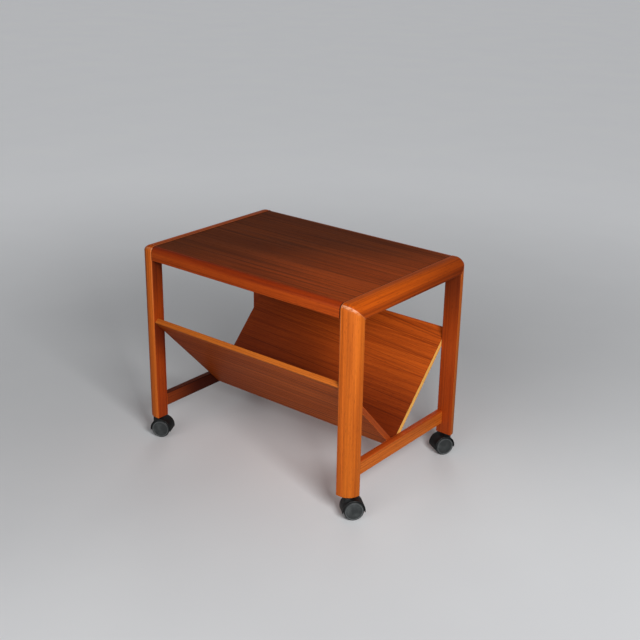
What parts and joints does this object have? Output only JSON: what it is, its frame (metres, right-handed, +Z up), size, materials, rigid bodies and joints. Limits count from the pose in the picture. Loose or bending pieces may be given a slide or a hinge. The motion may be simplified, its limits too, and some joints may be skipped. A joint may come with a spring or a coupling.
{
  "type": "magazine table with rack",
  "caption": "Low rectangular occasional table on swivelling twin-wheel casters: a lipped veneered top between two rounded end frames, with a V-shaped magazine rack slung below it.",
  "frame": {"origin": "on the floor under the middle of the table top", "axes": "+X along the table, +Y from front to back, +Z up"},
  "size_m": [0.6308, 0.4119, 0.468],
  "materials": {
    "solid_teak": "oiled, satin",
    "top_veneer": "oiled, satin",
    "backing_veneer": "raw, matt",
    "rack_veneer": "oiled, satin",
    "board_core": "sawn, oiled",
    "dowel_beech": "raw",
    "caster_plastic": "moulded",
    "wheel_plastic": "moulded",
    "socket_nylon": "moulded",
    "bright_steel": "turned"
  },
  "bodies": {
    "table": {"front_right_leg": "solid_teak", "back_right_leg": "solid_teak", "front_left_leg": "solid_teak", "back_left_leg": "solid_teak", "right_top_rail": "solid_teak", "left_top_rail": "solid_teak", "right_stretcher": "solid_teak", "left_stretcher": "solid_teak", "top_core": "board_core", "top_face_veneer": "top_veneer", "top_underside_veneer": "backing_veneer", "front_edge_lipping": "solid_teak", "back_edge_lipping": "solid_teak", "front_rack_core": "board_core", "front_rack_outer_veneer": "rack_veneer", "front_rack_inner_veneer": "rack_veneer", "front_rack_top_lipping": "solid_teak", "back_rack_core": "board_core", "back_rack_outer_veneer": "rack_veneer", "back_rack_inner_veneer": "rack_veneer", "back_rack_top_lipping": "solid_teak", "mitre_tongues": "dowel_beech", "stretcher_dowels": "dowel_beech", "top_dowels": "dowel_beech", "rack_dowels": "dowel_beech", "caster_sockets": "socket_nylon", "caster_stems": "bright_steel", "stem_grip_rings": "bright_steel"},
    "front_right_caster": {"front_right_caster_hood": "caster_plastic", "front_right_caster_axle": "bright_steel"},
    "front_right_wheel_a": {"front_right_wheel_a": "wheel_plastic"},
    "front_right_wheel_b": {"front_right_wheel_b": "wheel_plastic"},
    "back_right_caster": {"back_right_caster_hood": "caster_plastic", "back_right_caster_axle": "bright_steel"},
    "back_right_wheel_a": {"back_right_wheel_a": "wheel_plastic"},
    "back_right_wheel_b": {"back_right_wheel_b": "wheel_plastic"},
    "front_left_caster": {"front_left_caster_hood": "caster_plastic", "front_left_caster_axle": "bright_steel"},
    "front_left_wheel_a": {"front_left_wheel_a": "wheel_plastic"},
    "front_left_wheel_b": {"front_left_wheel_b": "wheel_plastic"},
    "back_left_caster": {"back_left_caster_hood": "caster_plastic", "back_left_caster_axle": "bright_steel"},
    "back_left_wheel_a": {"back_left_wheel_a": "wheel_plastic"},
    "back_left_wheel_b": {"back_left_wheel_b": "wheel_plastic"}
  },
  "joints": [
    {"name": "front_right_swivel", "type": "hinge", "parent": "table", "child": "front_right_caster", "pos_m": [0.2805, -0.1855, 0.045], "axis": [0, 0, 1], "continuous": true},
    {"name": "front_right_wheel_a_spin", "type": "hinge", "parent": "front_right_caster", "child": "front_right_wheel_a", "pos_m": [0.28757, -0.17707, 0.021], "axis": [-0.766, 0.6428, 0], "continuous": true},
    {"name": "front_right_wheel_b_spin", "type": "hinge", "parent": "front_right_caster", "child": "front_right_wheel_b", "pos_m": [0.28757, -0.17707, 0.021], "axis": [-0.766, 0.6428, 0], "continuous": true},
    {"name": "back_right_swivel", "type": "hinge", "parent": "table", "child": "back_right_caster", "pos_m": [0.2805, 0.1855, 0.045], "axis": [0, 0, 1], "continuous": true},
    {"name": "back_right_wheel_a_spin", "type": "hinge", "parent": "back_right_caster", "child": "back_right_wheel_a", "pos_m": [0.275, 0.17597, 0.021], "axis": [0.866, -0.5, 0], "continuous": true},
    {"name": "back_right_wheel_b_spin", "type": "hinge", "parent": "back_right_caster", "child": "back_right_wheel_b", "pos_m": [0.275, 0.17597, 0.021], "axis": [0.866, -0.5, 0], "continuous": true},
    {"name": "front_left_swivel", "type": "hinge", "parent": "table", "child": "front_left_caster", "pos_m": [-0.2805, -0.1855, 0.045], "axis": [0, 0, 1], "continuous": true},
    {"name": "front_left_wheel_a_spin", "type": "hinge", "parent": "front_left_caster", "child": "front_left_wheel_a", "pos_m": [-0.27079, -0.18034, 0.021], "axis": [-0.4695, 0.8829, 0], "continuous": true},
    {"name": "front_left_wheel_b_spin", "type": "hinge", "parent": "front_left_caster", "child": "front_left_wheel_b", "pos_m": [-0.27079, -0.18034, 0.021], "axis": [-0.4695, 0.8829, 0], "continuous": true},
    {"name": "back_left_swivel", "type": "hinge", "parent": "table", "child": "back_left_caster", "pos_m": [-0.2805, 0.1855, 0.045], "axis": [0, 0, 1], "continuous": true},
    {"name": "back_left_wheel_a_spin", "type": "hinge", "parent": "back_left_caster", "child": "back_left_wheel_a", "pos_m": [-0.28757, 0.17707, 0.021], "axis": [0.766, -0.6428, 0], "continuous": true},
    {"name": "back_left_wheel_b_spin", "type": "hinge", "parent": "back_left_caster", "child": "back_left_wheel_b", "pos_m": [-0.28757, 0.17707, 0.021], "axis": [0.766, -0.6428, 0], "continuous": true}
  ]
}
